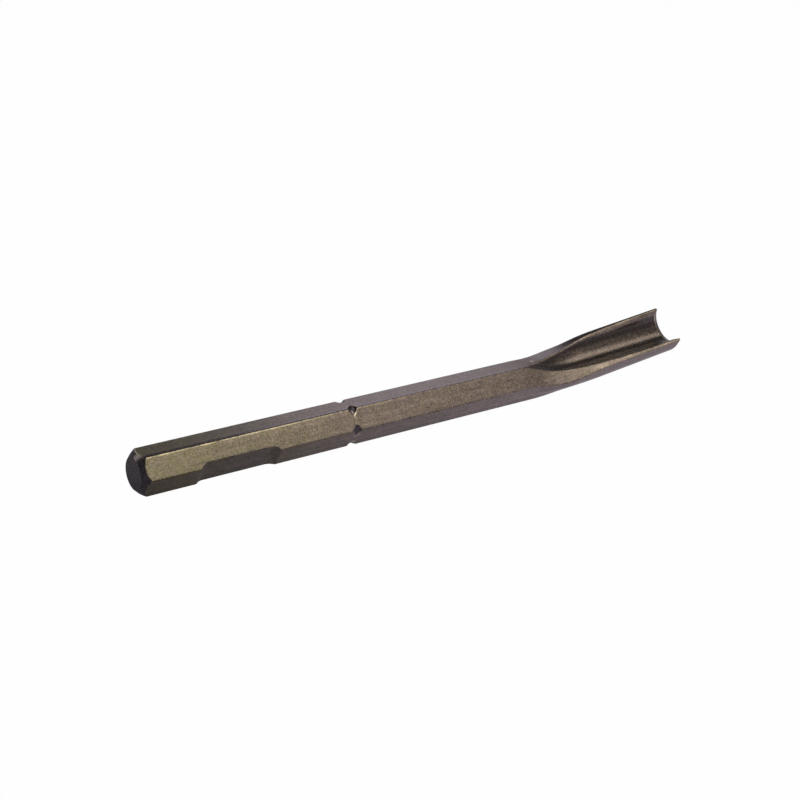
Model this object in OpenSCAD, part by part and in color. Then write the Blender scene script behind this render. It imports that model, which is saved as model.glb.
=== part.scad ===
// Hollow gouge for a breaking hammer, forged in one piece from hexagonal steel bar.
// +X runs along the shank from the middle of the struck end face to the cutting edge.
// The tool lies on one flat of its hexagon, so the channel opens over the corner beside the top flat.
// All sizes are in millimetres.

/* [Bar] */
// Width of the hexagonal bar across its flats
bar_flats = 17; // [16:0.5:18]
// Length from the struck face to the two corner tips of the blade
tool_length = 280; // [240:5:400]
// Rounding of the long corners of the bar
bar_corner_r = 0.8; // [0.4:0.1:1.2]

/* [Struck end] */
// Radius of the flat struck face, inside its turned 45 degree chamfer
face_r = 6.7; // [5.5:0.1:7.5]

/* [Retainer notch] */
// Distance from the struck face to the start of the notch
notch_start = 24.8; // [18:0.2:35]
// Length of the notch along the bar
notch_length = 36.2; // [28:0.2:48]
// Depth of the notch below the flat
notch_depth = 1.9; // [1:0.1:2.6]
// Radius of the arcs by which the notch runs out at both ends
notch_runout_r = 5; // [3:0.5:8]

/* [Ring groove] */
// Distance from the struck face to the middle of the groove
groove_x = 98.5; // [80:0.5:120]
// Radius of the tool that turned the groove
groove_r = 3; // [2:0.5:4]
// Radius that is left at the bottom of the groove
groove_bottom_r = 8.7; // [8.6:0.05:9.2]

/* [Blade] */
// Distance from the tips back to the middle of the bend
blade_length = 75; // [68:1:85]
// Angle by which the blade rises from the shank
bend_angle = 11.1; // [6:0.1:13]
// Half width of the finished blade
blade_half_w = 10.6; // [10.4:0.1:11]
// Depth of the rounded underside below the axis of the blade
blade_depth = 10.5; // [9.5:0.1:11]
// Distance by which the bar's edge sinks beside the start of the channel
edge_sink = 1.7; // [0.5:0.1:2]
// Height of the lips' outer edges above the axis at the root of the blade
lip_root_h = 4.2; // [3.8:0.1:5]
// Height of the lips' outer edges above the axis at the tips
lip_tip_h = 3.4; // [3:0.1:4.4]
// Angle by which the tops of the lips fall outwards
lip_fall = 21; // [15:1:28]
// Width of the bevel along the inside of the lips
lip_bevel_w = 1; // [0.4:0.1:1.2]

/* [Channel] */
// Radius of the channel
channel_r = 8.6; // [7.5:0.1:8.7]
// Distance from the tips back to the point where the channel starts on the ridge
channel_length = 85; // [84:0.5:88]
// Distance from the tips back to where the straight part of the floor starts
floor_length = 51; // [44:1:56]
// Angle by which the straight floor rises from the shank
channel_angle = 5.6; // [3:0.1:8]
// Depth of the floor below the lips at the tips
channel_depth = 7.2; // [6.5:0.1:8.5]

/* [Cutting edge] */
// Length of the small bevel inside the mouth of the channel
edge_bevel = 2; // [1:0.5:3]
// Width of the small bevel inside the mouth of the channel
edge_bevel_w = 1; // [0.6:0.1:1.2]
// Thickness of the cutting edge
edge_land = 0.3; // [0.2:0.1:0.6]
// Angle between the blade's axis and the bevel ground all round the outside of its end
edge_angle = 60; // [45:1:70]

/* [Hidden] */
steel_colour = [0.44, 0.40, 0.33];
// The corners of a hexagon lie 30 degrees either side of the middle of a flat
half_corner = 30;
lay_angle = 30;
bar_half = bar_flats / 2;
bar_corner = bar_half / cos(half_corner);
ridge_half_w = bar_corner_r * sin(half_corner);
// A little more than the thing that is cut, so that each cut comes out clean
clear = 1;

// Where the bend and the channel are, from the struck face
bend_x = tool_length - blade_length;
channel_start = tool_length - channel_length;
channel_root = tool_length - floor_length;
// Where the section of the bar gives way to that of the blade
forge_start = tool_length - 90;
spread_start = tool_length - 85;
round_start = tool_length - 74;
roof_turn = tool_length - 60;
spread_end = tool_length - 58;
lip_bevel_start = tool_length - 57;
lip_start = tool_length - 45;
round_end = tool_length - 44;
blade_start = tool_length - 39;
lip_bevel_full = tool_length - 25;
bend_r = 60;
blade_corner_r = 0.35;
// Worn rim of the channel where the lips have no bevel yet, and how much deeper than wide both are
rim_w = 0.12;
bevel_share = 1.5;

// Lengths and counts of the strips of the skin, and the steps of a turned circle
station_step = 3;
tip_step = 10;
channel_steps = 10;
corner_steps = 4;
roof_steps = 3;
side_steps = 3;
round_steps = 2;
under_steps = 8;
turned_steps = 96;
groove_steps = 48;

// Half the angle that the rounding of a corner takes up, seen from the axis
round_half_a = half_corner - atan((bar_half - bar_corner_r) * tan(half_corner) / bar_half);

// Path of the blade's axis in the plane of symmetry, bent by a circular arc
bend_reach = bend_r * tan(bend_angle / 2);
bend_start = bend_x - bend_reach;
bend_end = bend_x + bend_reach * cos(bend_angle);
end_x = tool_length + lip_tip_h * sin(bend_angle);
end_h = (end_x - bend_x) * tan(bend_angle);
tip_h = end_h + lip_tip_h * cos(bend_angle);

function smooth(x, a, b) = let (t = min(1, max(0, (x - a) / (b - a)))) t * t * (3 - 2 * t);
function mix(a, b, t) = a + (b - a) * t;
function axis_angle(x) =
    x <= bend_start ? 0 : x >= bend_end ? bend_angle : asin((x - bend_start) / bend_r);
function axis_h(x) =
    x <= bend_start ? 0 : x >= bend_end ? (x - bend_x) * tan(bend_angle)
    : bend_r - bend_r * cos(axis_angle(x));

// Measures of the section that change along the forging
function half_w(x) =
    mix(bar_half, blade_half_w, smooth(x, spread_start, spread_end));
function roof_slope(x) = mix(half_corner, lip_fall, smooth(x, roof_turn, blade_start));
function bar_edge_h(x) = bar_corner - half_w(x) * tan(half_corner);
function lip_h(x) = mix(lip_root_h, lip_tip_h, (x - blade_start) / (end_x - blade_start));
function sink(x) =
    edge_sink * smooth(x, forge_start, roof_turn) * (1 - smooth(x, roof_turn, blade_start));
function corner_h(x) = mix(bar_edge_h(x), lip_h(x), smooth(x, roof_turn, lip_start)) - sink(x);
function corner_r(x) = mix(bar_corner_r, blade_corner_r, smooth(x, roof_turn, blade_start));
function roundness(x) = smooth(x, round_start, round_end);

// Distance from the axis to the rounded hexagon, d degrees away from its nearest corner
corner_centre = (bar_half - bar_corner_r) / cos(half_corner);
function hexagon_r(a) =
    let (d = abs(((a + 360) % (2 * half_corner)) - half_corner))
    d < round_half_a
    ? corner_centre * cos(d) + sqrt(bar_corner_r ^ 2 - (corner_centre * sin(d)) ^ 2)
    : bar_half / cos(half_corner - d);
function round_r(a, w) = w * blade_depth / norm([blade_depth * cos(a), w * sin(a)]);

// Top of the section, if its two roof planes met
function apex_h(x) = corner_h(x) + half_w(x) * tan(roof_slope(x));

// Floor of the channel: a straight line, and a parabola that climbs from it to the ridge
function floor_line(x) = tip_h - channel_depth - (tool_length - x) * tan(channel_angle);
ridge_start_h = apex_h(channel_start) - ridge_half_w * tan(half_corner);
channel_start_h = axis_h(channel_start) + ridge_start_h * cos(axis_angle(channel_start));
runout_rate =
    (channel_start_h - floor_line(channel_start)) / (channel_root - channel_start) ^ 2;
function floor_h(x) =
    (floor_line(x) + runout_rate * max(0, channel_root - x) ^ 2 - axis_h(x)) / cos(axis_angle(x));
function cut_r(x) = x < end_x ? channel_r : channel_r + edge_bevel_w;
function cut_centre_h(x) = floor_h(x) + channel_r;

// Half width of the channel's mouth, where its circle meets the sloping top of the section
function mouth_half_w(x) =
    let (t = tan(roof_slope(x)), k = apex_h(x) - cut_centre_h(x))
    (k * t + sqrt((k * t) ^ 2 - (1 + t ^ 2) * (k ^ 2 - cut_r(x) ^ 2))) / (1 + t ^ 2);

// Width of the bevel, or worn rim, between the channel and the top of the section
function bevel_w(x) =
    x < end_x ? mix(rim_w, lip_bevel_w, smooth(x, lip_bevel_start, lip_bevel_full)) : rim_w;
function roof_point(x, y) = [y, apex_h(x) - y * tan(roof_slope(x))];

// One half of the section at x, as [y, z] points from the top round to the underside
function ridge_points(x) = [
    for (i = [0 : channel_steps])
        let (y = ridge_half_w * i / channel_steps)
        [y, apex_h(x) - bar_corner_r / cos(half_corner) + sqrt(bar_corner_r ^ 2 - y ^ 2)],
    roof_point(x, ridge_half_w + rim_w)
];
function channel_points(x) =
    let (mouth = roof_point(x, mouth_half_w(x)))
    let (mouth_a = atan2(mouth[1] - cut_centre_h(x), mouth[0]))
    let (bevel_a = bevel_share * bevel_w(x) / cut_r(x) * 180 / PI)
    [
        for (i = [0 : channel_steps])
            let (a = mix(-90, mouth_a - bevel_a, i / channel_steps))
            [cut_r(x) * cos(a), cut_centre_h(x) + cut_r(x) * sin(a)],
        roof_point(x, mouth_half_w(x) + bevel_w(x))
    ];
function top_points(x) = x < channel_start ? ridge_points(x) : channel_points(x);
function roof_points(x) =
    let (from = top_points(x)[channel_steps + 1], to = corner_points(x)[0])
    [for (i = [1 : roof_steps - 1]) mix(from, to, i / roof_steps)];
function corner_points(x) = [
    for (i = [0 : corner_steps])
        let (r = corner_r(x), slope = roof_slope(x), a = (90 - slope) * (1 - i / corner_steps))
        [half_w(x) - r + r * cos(a), corner_h(x) + r * tan(slope) - r / cos(slope) + r * sin(a)]
];
function side_points(x) = [
    for (i = [side_steps - 1 : -1 : 0])
        let (z = corner_points(x)[corner_steps][1] * i / side_steps)
        [half_w(x), z]
];
under_angles = [
    for (i = [1 : side_steps]) -(half_corner - round_half_a) * i / (side_steps + 1),
    for (i = [-round_steps : round_steps]) -half_corner - round_half_a * i / round_steps,
    for (i = [1 : under_steps])
        -half_corner - round_half_a - 2 * (half_corner - round_half_a) * i / (under_steps + 1),
    for (i = [-round_steps : 0]) -90 - round_half_a * i / round_steps
];
function under_points(x) = [
    for (a = under_angles)
        let (share = mix(1, roundness(x), smooth(-a, 0, half_corner - round_half_a)))
        let (r = mix(hexagon_r(a), round_r(a, half_w(x)), share))
        [r * cos(a), r * sin(a)]
];
function half_section(x) =
    concat(top_points(x), roof_points(x), corner_points(x), side_points(x), under_points(x));

// The whole section, closed by the mirrored half without its two points on the plane of symmetry
function section(x) =
    let (half = half_section(x), last = len(half) - 1)
    concat(half, [for (i = [last - 1 : -1 : 1]) [-half[i][0], half[i][1]]]);

// The section stands square to the bent axis
function placed(x) = [
    for (p = section(x))
        [x - p[1] * sin(axis_angle(x)), p[0], axis_h(x) + p[1] * cos(axis_angle(x))]
];

stations = [
    0,
    forge_start,
    for (x = [channel_start : station_step : blade_start + station_step]) x,
    end_x - tip_step,
    end_x - edge_bevel,
    end_x
];

// Skin through all the sections, closed by a flat face at each end
module forged_bar() {
    rings = [for (x = stations) placed(x)];
    n = len(rings[0]);
    last = len(rings) - 1;
    walls = [
        for (k = [0 : last - 1], i = [0 : n - 1])
            let (a = k * n + i, b = k * n + (i + 1) % n)
            each [[a, b, a + n], [b, b + n, a + n]]
    ];
    start_cap = [[for (i = [n - 1 : -1 : 0]) i]];
    end_cap = [[for (i = [0 : n - 1]) last * n + i]];
    polyhedron([for (ring = rings) each ring], concat(walls, start_cap, end_cap));
}

// Corners turned off at the struck end
module end_chamfer() {
    reach = bar_corner + clear;
    rotate([0, 90, 0])
        rotate_extrude($fn = turned_steps)
            polygon([[face_r - clear, -clear], [reach, -clear], [reach, reach - face_r]]);
}

// Flat notch across one face, run out in an arc at each end
module retainer_notch() {
    floor_y = bar_half - notch_depth;
    runout = sqrt(notch_runout_r ^ 2 - (notch_runout_r - notch_depth) ^ 2);
    arc_x = [notch_start + runout, notch_start + notch_length - runout];
    arc_y = floor_y + notch_runout_r;
    for (x = arc_x)
        translate([x, -arc_y, 0])
            cylinder(h = 2 * bar_corner, r = notch_runout_r, center = true, $fn = turned_steps);
    translate([arc_x[0], -arc_y, -bar_corner])
        cube([arc_x[1] - arc_x[0], notch_runout_r, 2 * bar_corner]);
}

// Round groove that nicks only the corners of the hexagon
module ring_groove() {
    translate([groove_x, 0, 0])
        rotate([0, 90, 0])
            rotate_extrude($fn = turned_steps)
                translate([groove_bottom_r + groove_r, 0])
                    circle(groove_r, $fn = groove_steps);
}

// Bevel ground like a cone round the outside of the end, up to the mouth of the channel
module outer_bevel() {
    edge_r = cut_r(end_x) + edge_land;
    reach = 2 * blade_depth;
    translate([end_x, 0, end_h])
        rotate([0, 90 - bend_angle, 0])
            translate([-cut_centre_h(end_x), 0, 0])
                rotate_extrude($fn = turned_steps)
                    polygon([
                        [edge_r - clear * tan(edge_angle), clear],
                        [reach, clear],
                        [reach, (edge_r - reach) / tan(edge_angle)]
                    ]);
}

module gouge() {
    color(steel_colour)
        rotate([lay_angle, 0, 0])
            difference() {
                forged_bar();
                end_chamfer();
                retainer_notch();
                ring_groove();
                outer_bevel();
            }
}

gouge();
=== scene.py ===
import math

import bpy
import numpy as np
from mathutils import Matrix, Vector


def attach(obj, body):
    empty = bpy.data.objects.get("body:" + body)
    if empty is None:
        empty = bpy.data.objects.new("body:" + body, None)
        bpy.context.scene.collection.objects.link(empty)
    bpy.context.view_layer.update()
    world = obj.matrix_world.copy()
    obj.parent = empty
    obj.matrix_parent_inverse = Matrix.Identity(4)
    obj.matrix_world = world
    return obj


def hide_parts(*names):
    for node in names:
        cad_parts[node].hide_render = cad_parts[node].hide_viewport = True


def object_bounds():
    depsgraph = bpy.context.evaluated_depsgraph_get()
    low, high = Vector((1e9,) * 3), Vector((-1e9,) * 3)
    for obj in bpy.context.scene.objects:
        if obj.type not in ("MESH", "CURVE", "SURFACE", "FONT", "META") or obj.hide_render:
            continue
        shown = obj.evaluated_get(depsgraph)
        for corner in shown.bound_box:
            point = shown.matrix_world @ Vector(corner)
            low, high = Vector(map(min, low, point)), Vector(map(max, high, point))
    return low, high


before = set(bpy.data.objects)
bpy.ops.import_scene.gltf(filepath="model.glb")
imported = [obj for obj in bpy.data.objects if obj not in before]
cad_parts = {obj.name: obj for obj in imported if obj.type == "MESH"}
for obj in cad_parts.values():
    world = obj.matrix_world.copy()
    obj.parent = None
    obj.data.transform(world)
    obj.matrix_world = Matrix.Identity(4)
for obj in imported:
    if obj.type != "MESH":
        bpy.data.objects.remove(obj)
cad_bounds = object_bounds()

# The skin is worked out in millimetres, in the tool's own axes: x runs along the shank, z points over
# the ridge that the channel opens, and -y is the side with the notch
MM = 0.001
LAY_ANGLE = math.radians(30)

# The length up to the blade's tips, and the bar: a hexagon with rounded edges, by half its width
TOOL_LENGTH = 280
BAR_HALF = 8.5
BAR_CORNER_R = 0.8

# The struck face inside its chamfer, the retainer notch and the ring groove
FACE_R = 6.7
NOTCH_START = 24.8
NOTCH_LENGTH = 36.2
NOTCH_DEPTH = 1.9
NOTCH_RUNOUT_R = 5
GROOVE_X = 98.5
GROOVE_R = 3
GROOVE_BOTTOM_R = 8.7

# The raised blade, how far the hexagon's upper edges sink at its root, and the height over its axis of
# its lips' outer edges, from which the lips rise inwards
BLADE_LENGTH = 75
BEND_ANGLE = math.radians(11.1)
BEND_R = 60
BLADE_HALF_W = 10.6
BLADE_DEPTH = 10.5
BLADE_CORNER_R = 0.35
EDGE_SINK = 1.7
LIP_ROOT_H = 4.2
LIP_TIP_H = 3.4
LIP_FALL = math.radians(21)

# The bevel inside the lips, the narrow rim that it grows from, and how far it goes down the wall, as a
# multiple of its width
LIP_BEVEL_W = 1
RIM_W = 0.12
BEVEL_SHARE = 1.5

# The channel, the straight part of its floor with its slope, and the depth of the floor under the tips
CHANNEL_R = 8.6
CHANNEL_LENGTH = 85
FLOOR_LENGTH = 51
CHANNEL_ANGLE = math.radians(5.6)
CHANNEL_DEPTH = 7.2

# The cutting edge: the bevel inside, the flat land and the cone ground outside
EDGE_BEVEL = 2
EDGE_BEVEL_W = 1
EDGE_LAND = 0.3
EDGE_ANGLE = math.radians(60)

# Where the section of the bar gives way to that of the blade
FORGE_START = TOOL_LENGTH - 90
SPREAD_START = TOOL_LENGTH - 85
ROUND_START = TOOL_LENGTH - 74
ROOF_TURN = TOOL_LENGTH - 60
SPREAD_END = TOOL_LENGTH - 58
LIP_BEVEL_START = TOOL_LENGTH - 57
LIP_START = TOOL_LENGTH - 45
ROUND_END = TOOL_LENGTH - 44
BLADE_START = TOOL_LENGTH - 39
LIP_BEVEL_FULL = TOOL_LENGTH - 25
BEND_X = TOOL_LENGTH - BLADE_LENGTH
CHANNEL_START = TOOL_LENGTH - CHANNEL_LENGTH
CHANNEL_ROOT = TOOL_LENGTH - FLOOR_LENGTH

# Softness of the worn edges: the width over which two surfaces blend, and the most that it takes of a
# short side or of the channel's half width
TURNED_SOFT = 0.3
NOTCH_SOFT = 0.3
LIP_SOFT = 0.25
FOOT_SOFT = 0.8
BEVEL_SOFT = 0.3
END_SOFT = 0.12
SIDE_SHARE = 0.45
MOUTH_SHARE = 0.3

# Values that follow from the sizes
NOTCH_END = NOTCH_START + NOTCH_LENGTH
RUNOUT_LENGTH = math.sqrt(NOTCH_RUNOUT_R ** 2 - (NOTCH_RUNOUT_R - NOTCH_DEPTH) ** 2)
HALF_CORNER = math.radians(30)
BAR_CORNER = BAR_HALF / math.cos(HALF_CORNER)
CORNER_CENTRE = (BAR_HALF - BAR_CORNER_R) / math.cos(HALF_CORNER)
ROUND_HALF_A = HALF_CORNER - math.atan((BAR_HALF - BAR_CORNER_R) * math.tan(HALF_CORNER) / BAR_HALF)
RIDGE_HALF_W = BAR_CORNER_R * math.sin(HALF_CORNER)
BEND_REACH = BEND_R * math.tan(BEND_ANGLE / 2)
BEND_START = BEND_X - BEND_REACH
BEND_END = BEND_X + BEND_REACH * math.cos(BEND_ANGLE)
END_X = TOOL_LENGTH + LIP_TIP_H * math.sin(BEND_ANGLE)
END_H = (END_X - BEND_X) * math.tan(BEND_ANGLE)
TIP_H = END_H + LIP_TIP_H * math.cos(BEND_ANGLE)

# Strips in each stretch of half a section, and the first points of the lip's rounding and of its roof
RIDGE_STEPS = 8
CHANNEL_STEPS = 36
LIP_STEPS = 5
BEVEL_STEPS = 3
ROOF_STEPS = 18
CORNER_STEPS = 8
SIDE_STEPS = 18
ROUND_STEPS = 8
FLAT_STEPS = 30
CREST = CHANNEL_STEPS + LIP_STEPS + BEVEL_STEPS
ROOF = CREST + LIP_STEPS

# Before the channel begins, the strips of the lip lie bunched on the roof, at a share of the way down
# it and a small share apart. From a little before the forging on, they move up to the ridge.
BUNCH_SHARE = 0.45
BUNCH_STEP = 0.002
BUNCH_LEAD = 6

# The sections lie close together this far from the struck face, from the notch's ends outwards and
# inwards, from the groove's middle, from the channel's start, and from the end and its inner bevel
CHAMFER_REACH = 3.6
NOTCH_REACH = 0.4
RUNOUT_REACH = 5
GROOVE_REACH = 2.6
ROOT_REACH = 10
MOUTH_REACH = 9
BEVEL_REACH = 0.5

# Marks on the skin's points, which the material reads: how worn an edge is, on the ridge partly a
# painted highlight; how brown and smooth, as in the channel and as painted shade on the ridge's top and
# the far roof; and how dark and violet, a painted dark reflection, as where the tool is turned
MARKS = ("edge", "channel", "turned")

# The shank's ridge is worn over some strips either side of the foot of its rounding, less on the far
# side, and fades along the shank: partly real wear, partly a painted highlight. Its top is painted dark
# brown, a painted reflection of the dark overhead, and on the far side some strips of the flat too.
RIDGE_WEAR_AND_HIGHLIGHT = 0.8
RIDGE_WEAR_AND_HIGHLIGHT_REACH = 3
RIDGE_WEAR_AND_HIGHLIGHT_FADE = (70, 190)
FAR_WEAR_AND_HIGHLIGHT = 0.2
RIDGE_PAINTED_DARK = 1.0
RIDGE_PAINTED_DARK_STRIPS = 9

# The lips are worn, the near one only where it stands free, and the far roof is painted dark brown as
# painted shade
LIP_WEAR = 0.4
NEAR_LIP_FADE = (222, 234)
FAR_ROOF_PAINTED_SHADE = 0.85
FAR_ROOF_SHADE_FADE = (198, 213)

# The line where the mouth's inner bevel begins, with its reach, the wear of the notch, and the share of
# the turned places' painted dark on the notch's floor, painted shade in the recess
MOUTH_WEAR = 1.2
MOUTH_WORN = 0.6
NOTCH_WEAR = 0.3
NOTCH_PAINTED_DARK = 0.3

# Scuffed places, each with its middle in the frame's axes and its reach, in millimetres, and its wear:
# one on the near lip where it begins, and a nick at the root of the channel
SCUFFS = (((235.4, -12.9, 5), 9, 0.62), ((202, 0.4, 8.3), 2, 1.3))

# Colours of the lacquered flats at the struck end and at the blade, of the channel, of what is turned,
# a painted dark reflection, and of worn edges
OLIVE = (0.163, 0.148, 0.063, 1)
ROSE = (0.235, 0.18, 0.163, 1)
CHANNEL_BROWN = (0.075, 0.056, 0.047, 1)
END_PAINTED_DARK_VIOLET = (0.095, 0.084, 0.09, 1)
BARE_STEEL = (0.5, 0.435, 0.28, 1)

# Noises in the lacquer, each with its grains to the millimetre and its detail, the middle part of the
# noise that is used, and how the streaks are drawn out along the tool
BLOTCH = (0.035, 3)
MOTTLE = (0.16, 2)
TARNISH = (0.45, 3)
GRAIN = (0.75, 3)
SPARKLE = (1.8, 2)
STREAK = (0.8, 2)
NOISE_RANGE = (0.3, 0.7)
DRAW_STRETCH = (0.03, 1, 1)

# What turns olive to rose: the way along the shank between two places, the blotches and the tarnish
ROSE_PLACES = (20, 120)
ROSE_ALONG = 0.5
ROSE_BLOTCH = 0.15
ROSE_TARNISH = 0.4

# How far each noise darkens and lightens the colour
MOTTLE_SHADE = (0.9, 1.1)
GRAIN_SHADE = (0.76, 1.24)
SPARKLE_SHADE = (0.5, 1.5)
STREAK_SHADE = (0.85, 1.15)

# How much the noise adds to or takes from the wear, and between which levels the steel shows through
WEAR_CHANCE = 0.5
WEAR_LEVELS = (0.4, 1.1)

# Roughness of the flats, and how much smoother the channel, the turned places and the worn edges are
ROUGHNESS = (0.42, 0.52)
SMOOTHER = 0.2
WORN_SMOOTHER = 0.12

# Depth in millimetres of the grain, the shares of its two noises, and the clear coat on the flats and
# on what is turned
GRAIN_DEPTH = 0.02
GRAIN_HEIGHT = 0.7
SPARKLE_HEIGHT = 0.3
COAT = (0.5, 0.2)
COAT_ROUGHNESS = 0.3

# Camera fitted to the photograph: its place in metres, its angles in degrees, and its lens and sensor
# in millimetres
CAMERA_AT = Vector((-0.22878, -0.46805, 0.25036))
CAMERA_YAW = 37.237
CAMERA_PITCH = -22.693
CAMERA_ROLL = 2.941
CAMERA_LENS = 66.41
CAMERA_SENSOR = 36
CAMERA_NEAR = 0.01

# The floor: half its side in metres, its colour, how white it shows by itself to the camera, and how
# much of it the metal sees, dimmer towards the struck end
FLOOR_REACH = 6
FLOOR_PALE = 0.85
FLOOR_GLOW = 0.985
FLOOR_GLOSS = 0.75
FLOOR_GLOSS_LEVELS = (0.15, 0.58)
FLOOR_GLOSS_TINT = (1.03, 0.97, 1.2, 1)

# The room all round: its light at the horizon and overhead, and the share of it on the struck end's
# side. Each fades between two values of the direction's height, or of its way along +X.
HORIZON = 0.3
CEILING = 0.04
CEILING_FADE = (0.4, 0.85)
DIM_SIDE = 0.6
SIDE_FADE = (0.2, 0.75)
ROOM_TINT = (1.0, 0.96, 1.03, 1)

# Soft boxes, each with its name, its azimuth from +X towards +Y and its elevation in degrees, its
# distance, width and height in metres, its radiance and its colour
KEY_TINT = (1.0, 0.95, 0.85)
SIDE_TINT = (1.0, 0.93, 1.1)
LAMPS = (
    ("key", -22, 55, 0.9, 0.5, 0.25, 4, KEY_TINT),
    ("front", -71, 42, 2.2, 0.95, 1.2, 3.7, KEY_TINT),
    ("side", 54, 25, 0.7, 0.25, 0.2, 1.2, SIDE_TINT),
    ("top", 0, 90, 1.2, 0.5, 0.5, 1.2, KEY_TINT),
    ("back", 95, 32, 1.5, 0.5, 0.5, 1.6, SIDE_TINT),
    ("far", 135, 32, 1.5, 0.7, 0.5, 1.8, KEY_TINT),
    ("rear", 150, 10, 1.5, 0.5, 0.35, 1.5, SIDE_TINT))


def ramp(x, start, end):
    """From 0 at start to 1 at end, level at both."""
    t = min(1.0, max(0.0, (x - start) / (end - start)))
    return t * t * (3 - 2 * t)


def mix(a, b, t):
    return a + (b - a) * t


def soft_min(a, b, width):
    """The lower of a and b, with the crossing rounded off over width, and how near that crossing is."""
    near = np.maximum(width - np.abs(a - b), 0) / width
    return np.minimum(a, b) - near * near * width / 4, near


def axis_angle(x):
    if x <= BEND_START:
        return 0.0
    return BEND_ANGLE if x >= BEND_END else math.asin((x - BEND_START) / BEND_R)


def axis_h(x):
    if x >= BEND_END:
        return (x - BEND_X) * math.tan(BEND_ANGLE)
    return BEND_R - BEND_R * math.cos(axis_angle(x))


def half_w(x):
    return mix(BAR_HALF, BLADE_HALF_W, ramp(x, SPREAD_START, SPREAD_END))


def roof_slope(x):
    return mix(HALF_CORNER, LIP_FALL, ramp(x, ROOF_TURN, BLADE_START))


def corner_h(x):
    """Height over the axis of the side's upper edge, which sinks at the blade's root and becomes a lip."""
    bar_edge = BAR_CORNER - half_w(x) * math.tan(HALF_CORNER)
    lip = mix(LIP_ROOT_H, LIP_TIP_H, (x - BLADE_START) / (END_X - BLADE_START))
    sink = EDGE_SINK * ramp(x, FORGE_START, ROOF_TURN) * (1 - ramp(x, ROOF_TURN, BLADE_START))
    return mix(bar_edge, lip, ramp(x, ROOF_TURN, LIP_START)) - sink


def apex_h(x):
    """Height over the axis at which the two roof planes would meet."""
    return corner_h(x) + half_w(x) * math.tan(roof_slope(x))


def floor_line(x):
    return TIP_H - CHANNEL_DEPTH - (TOOL_LENGTH - x) * math.tan(CHANNEL_ANGLE)


def floor_h(x):
    """Height of the channel's floor over the axis: a straight line, and a parabola up to the ridge."""
    ridge_h = apex_h(CHANNEL_START) - RIDGE_HALF_W * math.tan(HALF_CORNER)
    start_h = axis_h(CHANNEL_START) + ridge_h * math.cos(axis_angle(CHANNEL_START))
    rate = (start_h - floor_line(CHANNEL_START)) / (CHANNEL_ROOT - CHANNEL_START) ** 2
    rise = rate * max(0.0, CHANNEL_ROOT - x) ** 2
    return (floor_line(x) + rise - axis_h(x)) / math.cos(axis_angle(x))


def cut_r(x):
    """Radius of the channel, which opens into a small bevel at its mouth."""
    into = (x - (END_X - EDGE_BEVEL)) / EDGE_BEVEL
    opened = -soft_min(np.float64(0), np.float64(-into), BEVEL_SOFT / EDGE_BEVEL)[0]
    return CHANNEL_R + EDGE_BEVEL_W * float(opened)


def bezier(a, b, c, steps):
    """Points of the curve from a to c that is drawn towards b, without a itself."""
    t = np.linspace(0, 1, steps + 1)[1:, None]
    return (1 - t) ** 2 * a + 2 * t * (1 - t) * b + t ** 2 * c


def straight(a, b, steps):
    """Points of the line from a to b, without a itself."""
    t = np.linspace(0, 1, steps + 1)[1:, None]
    return mix(np.asarray(a), np.asarray(b), t)


def towards(a, b, distance):
    """The point at that distance from a on the way to b, but not past the middle."""
    return mix(a, b, min(SIDE_SHARE, distance / np.linalg.norm(b - a)))


def ridge_and_roof(x, corner):
    """From the top of the ridge down the flat to the corner's rounding."""
    y = np.linspace(0, RIDGE_HALF_W, RIDGE_STEPS + 1)
    z = apex_h(x) - BAR_CORNER_R / math.cos(HALF_CORNER) + np.sqrt(BAR_CORNER_R ** 2 - y ** 2)
    ridge = np.stack([y, z], 1)
    bunch = BUNCH_SHARE * (1 - ramp(x, FORGE_START - BUNCH_LEAD, CHANNEL_START))
    parts = [ridge]
    strips = (CHANNEL_STEPS - RIDGE_STEPS, LIP_STEPS, BEVEL_STEPS, LIP_STEPS)
    for k, steps in enumerate(strips, 1):
        stop = mix(ridge[-1], corner, bunch + BUNCH_STEP * k)
        parts.append(straight(parts[-1][-1], stop, steps))
    parts.append(straight(parts[-1][-1], corner, ROOF_STEPS))
    return parts


def channel_and_roof(x, corner):
    """From the floor of the channel up its wall, over the bevelled lip and on to the corner's rounding."""
    r = cut_r(x)
    slope = math.tan(roof_slope(x))
    centre = floor_h(x) + CHANNEL_R
    k = apex_h(x) - centre
    root = math.sqrt((k * slope) ** 2 - (1 + slope ** 2) * (k ** 2 - r ** 2))
    mouth_w = (k * slope + root) / (1 + slope ** 2)
    full = ramp(x, LIP_BEVEL_START, LIP_BEVEL_FULL) * (1 - ramp(x, END_X - EDGE_BEVEL, END_X))
    bevel_w = mix(RIM_W, LIP_BEVEL_W, full)
    crest = np.array([mouth_w + bevel_w, apex_h(x) - (mouth_w + bevel_w) * slope])
    wall_a = math.atan2(apex_h(x) - mouth_w * slope - centre, mouth_w) - BEVEL_SHARE * bevel_w / r
    foot = np.array([r * math.cos(wall_a), centre + r * math.sin(wall_a)])
    foot_soft = min(FOOT_SOFT, MOUTH_SHARE * mouth_w)
    lip_soft = min(LIP_SOFT, MOUTH_SHARE * mouth_w)
    a = np.linspace(-math.pi / 2, wall_a - foot_soft / r, CHANNEL_STEPS + 1)
    wall = np.stack([r * np.cos(a), centre + r * np.sin(a)], 1)
    foot_end = towards(foot, crest, foot_soft)
    crest_start = towards(crest, foot, lip_soft)
    crest_end = towards(crest, corner, lip_soft)
    return [wall,
            bezier(wall[-1], foot, foot_end, LIP_STEPS),
            straight(foot_end, crest_start, BEVEL_STEPS),
            bezier(crest_start, crest, crest_end, LIP_STEPS),
            straight(crest_end, corner, ROOF_STEPS)]


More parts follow.
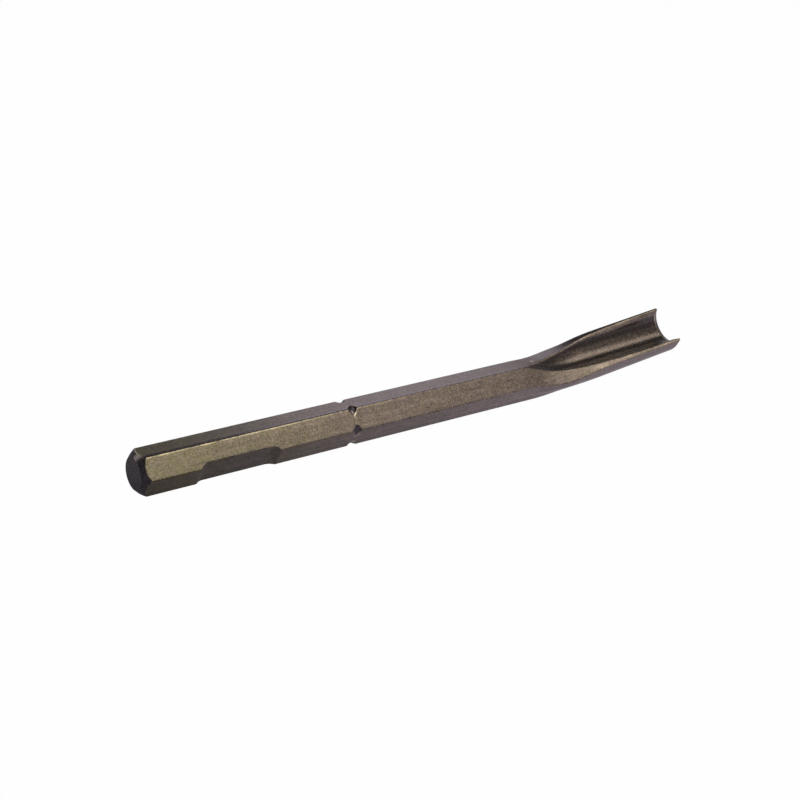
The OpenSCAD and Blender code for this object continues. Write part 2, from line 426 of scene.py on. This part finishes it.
def corner_arc(x):
    """The rounding between the roof and the side."""
    slope = roof_slope(x)
    r = mix(BAR_CORNER_R, BLADE_CORNER_R, ramp(x, ROOF_TURN, BLADE_START))
    a = np.linspace(math.pi / 2 - slope, 0, CORNER_STEPS + 1)
    lift = r * math.tan(slope) - r / math.cos(slope)
    return np.stack([half_w(x) - r + r * np.cos(a), corner_h(x) + lift + r * np.sin(a)], 1)


def hexagon_r(a):
    """Distance from the axis to the rounded hexagon in the direction a."""
    d = np.abs(np.mod(a, 2 * HALF_CORNER) - HALF_CORNER)
    in_arc = np.sqrt(np.maximum(BAR_CORNER_R ** 2 - (CORNER_CENTRE * np.sin(d)) ** 2, 0))
    rounded = CORNER_CENTRE * np.cos(d) + in_arc
    return np.where(d < ROUND_HALF_A, rounded, BAR_HALF / np.cos(HALF_CORNER - d))


def underside(x):
    """From the side down to the plane of symmetry: a hexagon that turns into a round."""
    turns = [(0, ROUND_HALF_A - HALF_CORNER, SIDE_STEPS),
             (ROUND_HALF_A - HALF_CORNER, -ROUND_HALF_A - HALF_CORNER, ROUND_STEPS),
             (-ROUND_HALF_A - HALF_CORNER, ROUND_HALF_A - math.pi / 2, FLAT_STEPS),
             (ROUND_HALF_A - math.pi / 2, -math.pi / 2, ROUND_STEPS // 2)]
    a = np.concatenate([np.linspace(start, end, steps + 1)[1:] for start, end, steps in turns])
    w = half_w(x)
    round_r = w * BLADE_DEPTH / np.hypot(BLADE_DEPTH * np.cos(a), w * np.sin(a))
    t = np.clip(-a / (HALF_CORNER - ROUND_HALF_A), 0, 1)
    share = mix(1, ramp(x, ROUND_START, ROUND_END), t * t * (3 - 2 * t))
    r = mix(hexagon_r(a), round_r, share)
    return np.stack([r * np.cos(a), r * np.sin(a)], 1)


def turned_cut(x):
    """Radius that the chamfer and the ring groove leave at x."""
    off = abs(x - GROOVE_X)
    if off >= GROOVE_R:
        return FACE_R + x
    return min(FACE_R + x, GROOVE_BOTTOM_R + GROOVE_R - math.sqrt(GROOVE_R ** 2 - off ** 2))


def notch_cut(x):
    """Distance from the axis to the notch's floor at x."""
    off = max(NOTCH_START + RUNOUT_LENGTH - x, x - NOTCH_END + RUNOUT_LENGTH, 0)
    if off >= NOTCH_RUNOUT_R:
        return math.inf
    return BAR_HALF - NOTCH_DEPTH + NOTCH_RUNOUT_R - math.sqrt(NOTCH_RUNOUT_R ** 2 - off ** 2)


def end_cut(x):
    """Radius round the channel's middle that the bevel ground round the end leaves at x."""
    edge_r = CHANNEL_R + EDGE_BEVEL_W + EDGE_LAND
    return edge_r + (END_X - x) / math.cos(BEND_ANGLE) * math.tan(EDGE_ANGLE)


def half_section(x):
    """Half the outline before it is turned and milled, from over the axis to under it, and its marks."""
    corner = corner_arc(x)
    top = ridge_and_roof if x < CHANNEL_START else channel_and_roof
    side = straight(corner[-1], (half_w(x), 0), SIDE_STEPS)
    half = np.concatenate(top(x, corner[0]) + [corner[1:], side, underside(x)])
    edge = np.zeros(len(half))
    channel = np.zeros(len(half))
    if x < CHANNEL_START:
        # The ridge's worn strips: partly real wear, partly a painted highlight on its rounding
        edge[RIDGE_STEPS - RIDGE_WEAR_AND_HIGHLIGHT_REACH:RIDGE_STEPS + RIDGE_WEAR_AND_HIGHLIGHT_REACH] = RIDGE_WEAR_AND_HIGHLIGHT
        # The ridge's top is painted dark brown: a painted reflection of the dark overhead
        channel[:RIDGE_STEPS - RIDGE_WEAR_AND_HIGHLIGHT_REACH + 1] = RIDGE_PAINTED_DARK
    else:
        edge[:CHANNEL_STEPS + 1] = MOUTH_WEAR * max(0, 1 - abs(x - END_X + EDGE_BEVEL) / MOUTH_WORN)
        edge[CREST:ROOF + 1] = LIP_WEAR
        channel[:CHANNEL_STEPS + 1] = 1
    return half, edge, channel


def cut_bar(x, ring, edge):
    """The ring cut by the chamfer, the groove and the notch, with its edge and turned marks."""
    r = np.hypot(*ring.T)
    # What is turned is marked for a painted dark reflection
    turned = np.clip((r - turned_cut(x)) / TURNED_SOFT + 0.5, 0, 1)
    cut, near = soft_min(r, turned_cut(x), TURNED_SOFT)
    ring = ring * (cut / r)[:, None]
    edge = np.maximum(edge * (1 - turned), near)
    # The notch's milled floor takes a share of the turned places' painted dark, as painted shade
    milled = np.clip((-ring[:, 0] - notch_cut(x)) / NOTCH_SOFT + 0.5, 0, 1)
    turned = np.maximum(turned, milled * NOTCH_PAINTED_DARK)
    cut, near = soft_min(-ring[:, 0], notch_cut(x), NOTCH_SOFT)
    ring[:, 0] = -cut
    return ring, np.maximum(edge, near * NOTCH_WEAR), turned


def cut_end(x, ring, edge):
    """The ring cut by the bevel ground round the outside of the end, with its edge marks."""
    middle = np.array([0, floor_h(END_X) + CHANNEL_R])
    r = np.hypot(*(ring - middle).T)
    cut, near = soft_min(r, end_cut(x), BEVEL_SOFT)
    ring = middle + (ring - middle) * (cut / r)[:, None]
    return ring, np.maximum(edge, near)


def section(x):
    """The closed section at x as rows of y and z, far half first, and its points' marks as in MARKS."""
    half, edge, channel = half_section(x)
    n = len(half)
    ring, edge, channel = (np.concatenate([row, row[-2:0:-1]]) for row in (half, edge, channel))
    ring[n:, 0] *= -1
    if x < CHANNEL_START:
        # The far side's ridge and some strips of its flat are painted dark: a painted reflection of the
        # dark overhead
        channel[:RIDGE_STEPS + RIDGE_PAINTED_DARK_STRIPS] = RIDGE_PAINTED_DARK
        # The ridge's wear and painted highlight, weaker on the far side and fading along the shank
        edge[:n] *= FAR_WEAR_AND_HIGHLIGHT
        edge *= 1 - ramp(x, *RIDGE_WEAR_AND_HIGHLIGHT_FADE)
    else:
        # Painted shade: the far roof is darkened with the channel's brown from a little before the blade on
        channel[ROOF + 1:ROOF + ROOF_STEPS + CORNER_STEPS] = FAR_ROOF_PAINTED_SHADE * ramp(x, *FAR_ROOF_SHADE_FADE)
        edge[n:] *= ramp(x, *NEAR_LIP_FADE)
    turned = np.zeros(len(ring))
    if x < FORGE_START:
        ring, edge, turned = cut_bar(x, ring, edge)
    if x > BLADE_START:
        ring, edge = cut_end(x, ring, edge)
    return ring, np.stack([edge, channel, turned], 1)


def inset(ring, distance):
    """The ring drawn in by distance, square to its own outline."""
    along = np.roll(ring, -1, 0) - np.roll(ring, 1, 0)
    along /= np.linalg.norm(along, axis=1)[:, None]
    return ring + distance * np.stack([along[:, 1], -along[:, 0]], 1)


def placed(x, ring):
    """The section set square to the bent axis."""
    a = axis_angle(x)
    return np.stack([x - ring[:, 1] * math.sin(a), ring[:, 0], axis_h(x) + ring[:, 1] * math.cos(a)], 1)


def stations():
    """Places of the sections, in stretches given by their end and number of steps, close where needed."""
    stretches = [
        (CHAMFER_REACH, 26),
        (NOTCH_START - NOTCH_REACH, 5),
        (NOTCH_START + RUNOUT_REACH, 26),
        (NOTCH_END - RUNOUT_REACH, 6),
        (NOTCH_END + NOTCH_REACH, 26),
        (GROOVE_X - GROOVE_REACH, 8),
        (GROOVE_X + GROOVE_REACH, 38),
        (FORGE_START, 14),
        (CHANNEL_START, 8),
        (CHANNEL_START + ROOT_REACH, 24),
        (END_X - MOUTH_REACH, 84),
        (END_X - EDGE_BEVEL - BEVEL_REACH, 16),
        (END_X - END_SOFT, 14)]
    places = [END_SOFT]
    for end, steps in stretches:
        places.extend(np.linspace(places[-1], end, steps + 1)[1:])
    return places


def placed_sections():
    """All the sections set in place, with two more at each end that round its edge off, and their marks."""
    rings = []
    marks = []
    for x in stations():
        ring, mark = section(x)
        rings.append(placed(x, ring))
        marks.append(mark)
    for turn in (math.radians(45), math.radians(90)):
        depth = END_SOFT * (1 - math.sin(turn))
        distance = END_SOFT * (1 - math.cos(turn))
        ring, mark = section(depth)
        rings.insert(0, placed(depth, inset(ring, distance)))
        marks.insert(0, mark)
        ring, mark = section(END_X - depth)
        rings.append(placed(END_X - depth, inset(ring, distance)))
        marks.append(mark)
    return rings, marks


def cap(ring, start, flipped):
    """Triangles that close a ring, stitched between the two sides of each half of it."""
    n = len(ring)
    faces = []
    for half in (list(range(n // 2 + 1)), [0] + list(range(n - 1, n // 2 - 1, -1))):
        i = 0
        j = len(half) - 1
        while j - i > 1:
            ahead = np.linalg.norm(ring[half[i + 1]] - ring[half[j]])
            behind = np.linalg.norm(ring[half[i]] - ring[half[j - 1]])
            third = i + 1 if ahead < behind else j - 1
            face = [start + half[i], start + half[third], start + half[j]]
            faces.append(face[::-1] if flipped == (half[1] == 1) else face)
            i, j = (third, j) if third == i + 1 else (i, third)
    return faces


def add_object(name, data):
    made = bpy.data.objects.new(name, data)
    bpy.context.scene.collection.objects.link(made)
    return made


def build_skin():
    """The whole tool as one closed mesh, laid on its flat, with its marks on its points."""
    rings, marks = placed_sections()
    n = len(rings[0])
    turn = np.array([[1, 0, 0],
                     [0, math.cos(LAY_ANGLE), -math.sin(LAY_ANGLE)],
                     [0, math.sin(LAY_ANGLE), math.cos(LAY_ANGLE)]])
    points = np.concatenate(rings) @ turn.T * MM
    k, i = np.meshgrid(np.arange(len(rings) - 1), np.arange(n), indexing="ij")
    a = (k * n + i).ravel()
    b = (k * n + (i + 1) % n).ravel()
    walls = np.stack([a, a + n, b + n, b], 1).tolist()
    caps = cap(points[:n], 0, False) + cap(points[-n:], len(points) - n, True)
    mesh = bpy.data.meshes.new("gouge_skin")
    mesh.from_pydata(points.tolist(), [], walls + caps)
    mesh.shade_smooth()
    for face in mesh.polygons[len(walls):]:
        face.use_smooth = False
    for name, values in zip(MARKS, np.concatenate(marks).T):
        mark = mesh.attributes.new(name, "FLOAT", "POINT")
        mark.data.foreach_set("value", values.astype(np.float32))
    return add_object("gouge_skin", mesh)


def add_node(tree, kind, inputs=(), **settings):
    """Adds a node, sets or links its inputs, given by name or number, and gives back its first output."""
    made = tree.nodes.new(kind)
    for name, value in settings.items():
        setattr(made, name, value)
    for name, value in dict(inputs).items():
        if isinstance(value, bpy.types.NodeSocket):
            tree.links.new(value, made.inputs[name])
        else:
            made.inputs[name].default_value = value
    return made.outputs[0]


def add_math(tree, operation, a, b):
    return add_node(tree, "ShaderNodeMath", {0: a, 1: b}, operation=operation)


def add_times(tree, a, b):
    return add_math(tree, "MULTIPLY", a, b)


def add_range(tree, value, low, high, to_low=0.0, to_high=1.0):
    """The value moved from one range to another, and held at its ends."""
    ends = {"From Min": low, "From Max": high, "To Min": to_low, "To Max": to_high}
    return add_node(tree, "ShaderNodeMapRange", {"Value": value, **ends})


def add_mix(tree, share, a, b, blend="MIX"):
    """The colour a mixed with b, through the sockets of the node that are in use for colours."""
    made = tree.nodes.new("ShaderNodeMix")
    made.data_type = "RGBA"
    made.blend_type = blend
    for socket, value in (("Factor", share), ("A", a), ("B", b)):
        found = next(i for i in made.inputs if i.name == socket and i.enabled)
        if isinstance(value, bpy.types.NodeSocket):
            tree.links.new(value, found)
        else:
            found.default_value = value
    return next(o for o in made.outputs if o.enabled)


def add_noise(tree, spot, per_mm, detail):
    """Noise with about per_mm grains to the millimetre, spread to fill 0 to 1."""
    raw = add_node(tree, "ShaderNodeTexNoise", {"Vector": spot, "Scale": per_mm, "Detail": detail})
    return add_range(tree, raw, *NOISE_RANGE)


def add_mark(tree, name):
    return add_node(tree, "ShaderNodeAttribute", attribute_name=name).node.outputs["Fac"]


def grey(value):
    return (value, value, value, 1)


def add_hue(tree, spot, blotch, tarnish):
    """How rosy the lacquer is: more so away from the struck end, and in patches."""
    along = add_node(tree, "ShaderNodeSeparateXYZ", {0: spot})
    hue = add_times(tree, add_range(tree, along, *ROSE_PLACES), ROSE_ALONG)
    hue = add_math(tree, "ADD", hue, add_times(tree, blotch, ROSE_BLOTCH))
    return add_math(tree, "ADD", hue, add_times(tree, tarnish, ROSE_TARNISH))


def add_wear(tree, spot, edge, grain, mottle):
    """How far the steel shows through: at worn edges and scuffs, broken up by the noise."""
    rubbed = add_range(tree, add_math(tree, "ADD", grain, mottle), 0, 2, -WEAR_CHANCE, WEAR_CHANCE)
    for at, reach, wear in SCUFFS:
        away = add_node(tree, "ShaderNodeVectorMath", {0: spot, 1: at}, operation="DISTANCE")
        scuff = add_range(tree, away.node.outputs["Value"], 0, reach, wear, 0)
        edge = add_math(tree, "MAXIMUM", edge, scuff)
    return add_range(tree, add_math(tree, "ADD", edge, rubbed), *WEAR_LEVELS)


def steel_material():
    """Satin steel under thin bronze lacquer: mottled, grainy, brown in the channel, with a painted dark
    reflection on the turned end and the ridge's top, painted shade on the far roof, and a painted highlight
    in the ridge's wear.
    """
    material = bpy.data.materials.new("lacquered_steel")
    material.use_nodes = True
    tree = material.node_tree
    shader = tree.nodes["Principled BSDF"]
    place = tree.nodes.new("ShaderNodeTexCoord").outputs["Object"]
    spot = add_node(tree, "ShaderNodeVectorMath", {0: place, "Scale": 1 / MM}, operation="SCALE")
    drawn = add_node(tree, "ShaderNodeVectorMath", {0: spot, 1: DRAW_STRETCH}, operation="MULTIPLY")
    edge, channel, turned = (add_mark(tree, name) for name in MARKS)
    blotch, mottle, tarnish, grain, sparkle = (
        add_noise(tree, spot, *noise) for noise in (BLOTCH, MOTTLE, TARNISH, GRAIN, SPARKLE))
    streak = add_noise(tree, drawn, *STREAK)

    colour = add_mix(tree, add_hue(tree, spot, blotch, tarnish), OLIVE, ROSE)
    # The channel's brown, which on the ridge's top and the far roof is painted shade
    colour = add_mix(tree, channel, colour, CHANNEL_BROWN)
    # Dark violet on what is turned: a painted dark reflection of the room at the struck end
    colour = add_mix(tree, turned, colour, END_PAINTED_DARK_VIOLET)
    for pattern, levels in ((mottle, MOTTLE_SHADE), (grain, GRAIN_SHADE),
                            (sparkle, SPARKLE_SHADE), (streak, STREAK_SHADE)):
        shade = add_range(tree, pattern, 0, 1, *levels)
        shade = add_node(tree, "ShaderNodeCombineColor", {0: shade, 1: shade, 2: shade})
        colour = add_mix(tree, 1.0, colour, shade, "MULTIPLY")
    worn = add_wear(tree, spot, edge, grain, mottle)
    # Worn steel shows through: real wear, and on the shank's ridge partly a painted highlight
    colour = add_mix(tree, worn, colour, BARE_STEEL)
    tree.links.new(colour, shader.inputs["Base Color"])

    rough = add_range(tree, grain, 0, 1, *ROUGHNESS)
    smooth = add_math(tree, "MAXIMUM", channel, turned)
    rough = add_math(tree, "SUBTRACT", rough, add_times(tree, smooth, SMOOTHER))
    rough = add_math(tree, "SUBTRACT", rough, add_times(tree, worn, WORN_SMOOTHER))
    tree.links.new(rough, shader.inputs["Roughness"])
    grain_height = add_times(tree, grain, GRAIN_HEIGHT)
    height = add_math(tree, "ADD", grain_height, add_times(tree, sparkle, SPARKLE_HEIGHT))
    depth = {"Strength": 1.0, "Distance": GRAIN_DEPTH * MM}
    bump = add_node(tree, "ShaderNodeBump", {"Height": height, **depth})
    tree.links.new(bump, shader.inputs["Normal"])
    tree.links.new(add_range(tree, turned, 0, 1, *COAT), shader.inputs["Coat Weight"])
    shader.inputs["Coat Roughness"].default_value = COAT_ROUGHNESS
    shader.inputs["Metallic"].default_value = 1.0
    return material


def add_camera():
    camera = add_object("camera", bpy.data.cameras.new("camera"))
    camera.data.sensor_width = CAMERA_SENSOR
    camera.data.lens = CAMERA_LENS
    camera.data.clip_start = CAMERA_NEAR
    turn = (Matrix.Rotation(math.radians(-CAMERA_YAW), 4, "Z")
            @ Matrix.Rotation(math.radians(90 + CAMERA_PITCH), 4, "X")
            @ Matrix.Rotation(math.radians(CAMERA_ROLL), 4, "Z"))
    camera.matrix_world = Matrix.Translation(CAMERA_AT) @ turn
    bpy.context.scene.camera = camera


def floor_material():
    """Pale, showing nearly white by itself to the camera and dimmer in the metal, with shadows on it."""
    material = bpy.data.materials.new("floor")
    material.use_nodes = True
    material.cycles.emission_sampling = "NONE"
    tree = material.node_tree
    tree.nodes.clear()
    ray = tree.nodes.new("ShaderNodeLightPath").outputs
    share = add_times(tree, ray["Is Camera Ray"], FLOOR_GLOW)
    for name in ("Is Glossy Ray", "Is Transmission Ray"):
        share = add_math(tree, "MAXIMUM", share, add_times(tree, ray[name], FLOOR_GLOSS))
    place = tree.nodes.new("ShaderNodeTexCoord").outputs["Object"]
    along = add_node(tree, "ShaderNodeSeparateXYZ", {0: place})
    gloss = add_range(tree, along, 0, BEND_X * MM, *FLOOR_GLOSS_LEVELS)
    strength = add_math(tree, "MAXIMUM", ray["Is Camera Ray"], gloss)
    tint = add_mix(tree, ray["Is Camera Ray"], FLOOR_GLOSS_TINT, grey(1))
    glow = add_node(tree, "ShaderNodeEmission", {"Color": tint, "Strength": strength})
    lit = add_node(tree, "ShaderNodeBsdfDiffuse", {"Color": grey(FLOOR_PALE)})
    both = add_node(tree, "ShaderNodeMixShader", {0: share, 1: lit, 2: glow})
    output = tree.nodes.new("ShaderNodeOutputMaterial")
    tree.links.new(both, output.inputs["Surface"])
    return material


def add_floor(low_z):
    mesh = bpy.data.meshes.new("floor")
    corners = [(-1, -1), (1, -1), (1, 1), (-1, 1)]
    mesh.from_pydata([(x * FLOOR_REACH, y * FLOOR_REACH, low_z) for x, y in corners], [], [(0, 1, 2, 3)])
    mesh.materials.append(floor_material())
    add_object("floor", mesh)


def add_lamp(name, azimuth, elevation, distance, width, height, radiance, colour):
    """A soft box that faces the middle of the tool."""
    light = bpy.data.lights.new(name, "AREA")
    light.shape = "RECTANGLE"
    light.size = width
    light.size_y = height
    light.energy = radiance * math.pi * width * height
    light.color = colour
    lamp = add_object(name, light)
    a = math.radians(azimuth)
    e = math.radians(elevation)
    away = Vector((math.cos(a) * math.cos(e), math.sin(a) * math.cos(e), math.sin(e)))
    lamp.location = Vector((TOOL_LENGTH * MM / 2, 0, 0)) + away * distance
    lamp.rotation_euler = (-away).to_track_quat("-Z", "Y").to_euler()


def add_world():
    """White to the camera; to the rest bright at the horizon, dim overhead and towards the struck end."""
    world = bpy.data.worlds.new("studio")
    world.use_nodes = True
    tree = world.node_tree
    tree.nodes.clear()
    place = tree.nodes.new("ShaderNodeTexCoord").outputs["Generated"]
    split = add_node(tree, "ShaderNodeSeparateXYZ", {0: place}).node
    high = add_range(tree, split.outputs["Z"], *CEILING_FADE, HORIZON, CEILING)
    side = add_range(tree, split.outputs["X"], *SIDE_FADE, DIM_SIDE, 1.0)
    level = add_times(tree, high, side)
    room = add_node(tree, "ShaderNodeBackground", {"Color": ROOM_TINT, "Strength": level})
    white = add_node(tree, "ShaderNodeBackground", {"Color": grey(1), "Strength": 1.0})
    camera_ray = tree.nodes.new("ShaderNodeLightPath").outputs["Is Camera Ray"]
    both = add_node(tree, "ShaderNodeMixShader", {0: camera_ray, 1: room, 2: white})
    output = tree.nodes.new("ShaderNodeOutputWorld")
    tree.links.new(both, output.inputs["Surface"])
    bpy.context.scene.world = world


skin = build_skin()
skin.data.materials.append(steel_material())
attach(skin, "root")
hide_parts("gouge")

add_camera()
add_floor(cad_bounds[0].z)
for lamp in LAMPS:
    add_lamp(*lamp)
add_world()
bpy.context.scene.view_settings.view_transform = "Standard"
